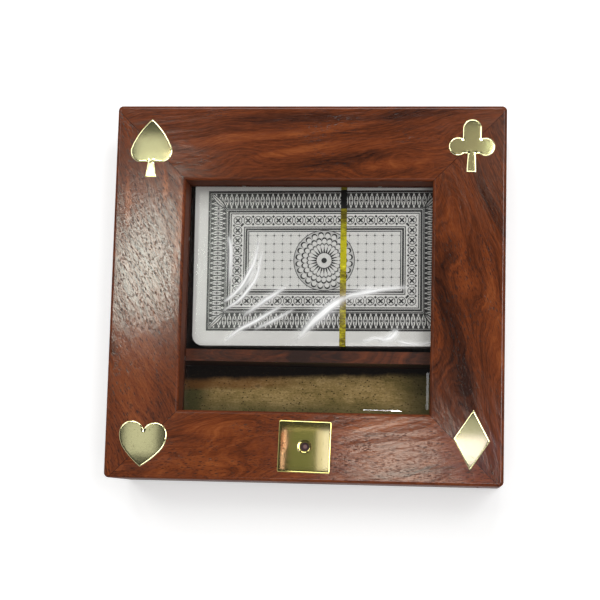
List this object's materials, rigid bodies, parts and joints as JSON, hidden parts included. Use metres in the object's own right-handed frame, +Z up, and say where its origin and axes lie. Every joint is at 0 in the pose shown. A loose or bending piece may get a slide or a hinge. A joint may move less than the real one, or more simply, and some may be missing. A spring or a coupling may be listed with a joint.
{
  "type": "playing card box with drawer",
  "caption": "Wooden playing card box with a glass-topped mitred frame, brass suit inlays and a drawer holding a wrapped deck beside a dice trough.",
  "frame": {"origin": "middle of the underside, on the surface the box rests on", "axes": "+Z up through the glass, +X to the right and -Y towards the front, where the drawer opens"},
  "size_m": [0.13, 0.1244, 0.0384],
  "materials": {
    "lacquered_rosewood": "glossy lacquer over an open-pored reddish hardwood",
    "raw_board": "unfinished, matt",
    "window_glass": "clear, polished",
    "polished_brass": "mirror polish with buffed edges",
    "steel_pin": "plain steel",
    "printed_card": "coated white card with a black printed back",
    "clear_film": "thin crinkled clear film",
    "gold_film": "metallised film"
  },
  "bodies": {
    "casing": {"frame_rail_back": "lacquered_rosewood", "frame_rail_front": "lacquered_rosewood", "frame_stile_left": "lacquered_rosewood", "frame_stile_right": "lacquered_rosewood", "glass_pane": "window_glass", "glass_bead_back": "lacquered_rosewood", "glass_bead_front": "lacquered_rosewood", "glass_bead_left": "lacquered_rosewood", "glass_bead_right": "lacquered_rosewood", "glass_bead_pins": "steel_pin", "casing_wall_back": "lacquered_rosewood", "casing_wall_left": "lacquered_rosewood", "casing_wall_right": "lacquered_rosewood", "wall_pins": "steel_pin", "base_board": "lacquered_rosewood", "base_pins": "steel_pin", "spade_inlay": "polished_brass", "club_inlay": "polished_brass", "heart_inlay": "polished_brass", "diamond_inlay": "polished_brass", "die_face_plate": "polished_brass"},
    "drawer": {"drawer_front": "lacquered_rosewood", "drawer_side_left": "lacquered_rosewood", "drawer_side_right": "lacquered_rosewood", "drawer_back": "lacquered_rosewood", "drawer_bottom": "raw_board", "drawer_divider": "lacquered_rosewood", "drawer_pins": "steel_pin", "card_deck": "printed_card", "deck_wrap": "clear_film", "tear_strip": "gold_film"}
  },
  "joints": [
    {"name": "drawer_slide", "type": "slide", "parent": "casing", "child": "drawer", "axis": [0, -1, 0], "range_m": [0, 0.104]}
  ]
}
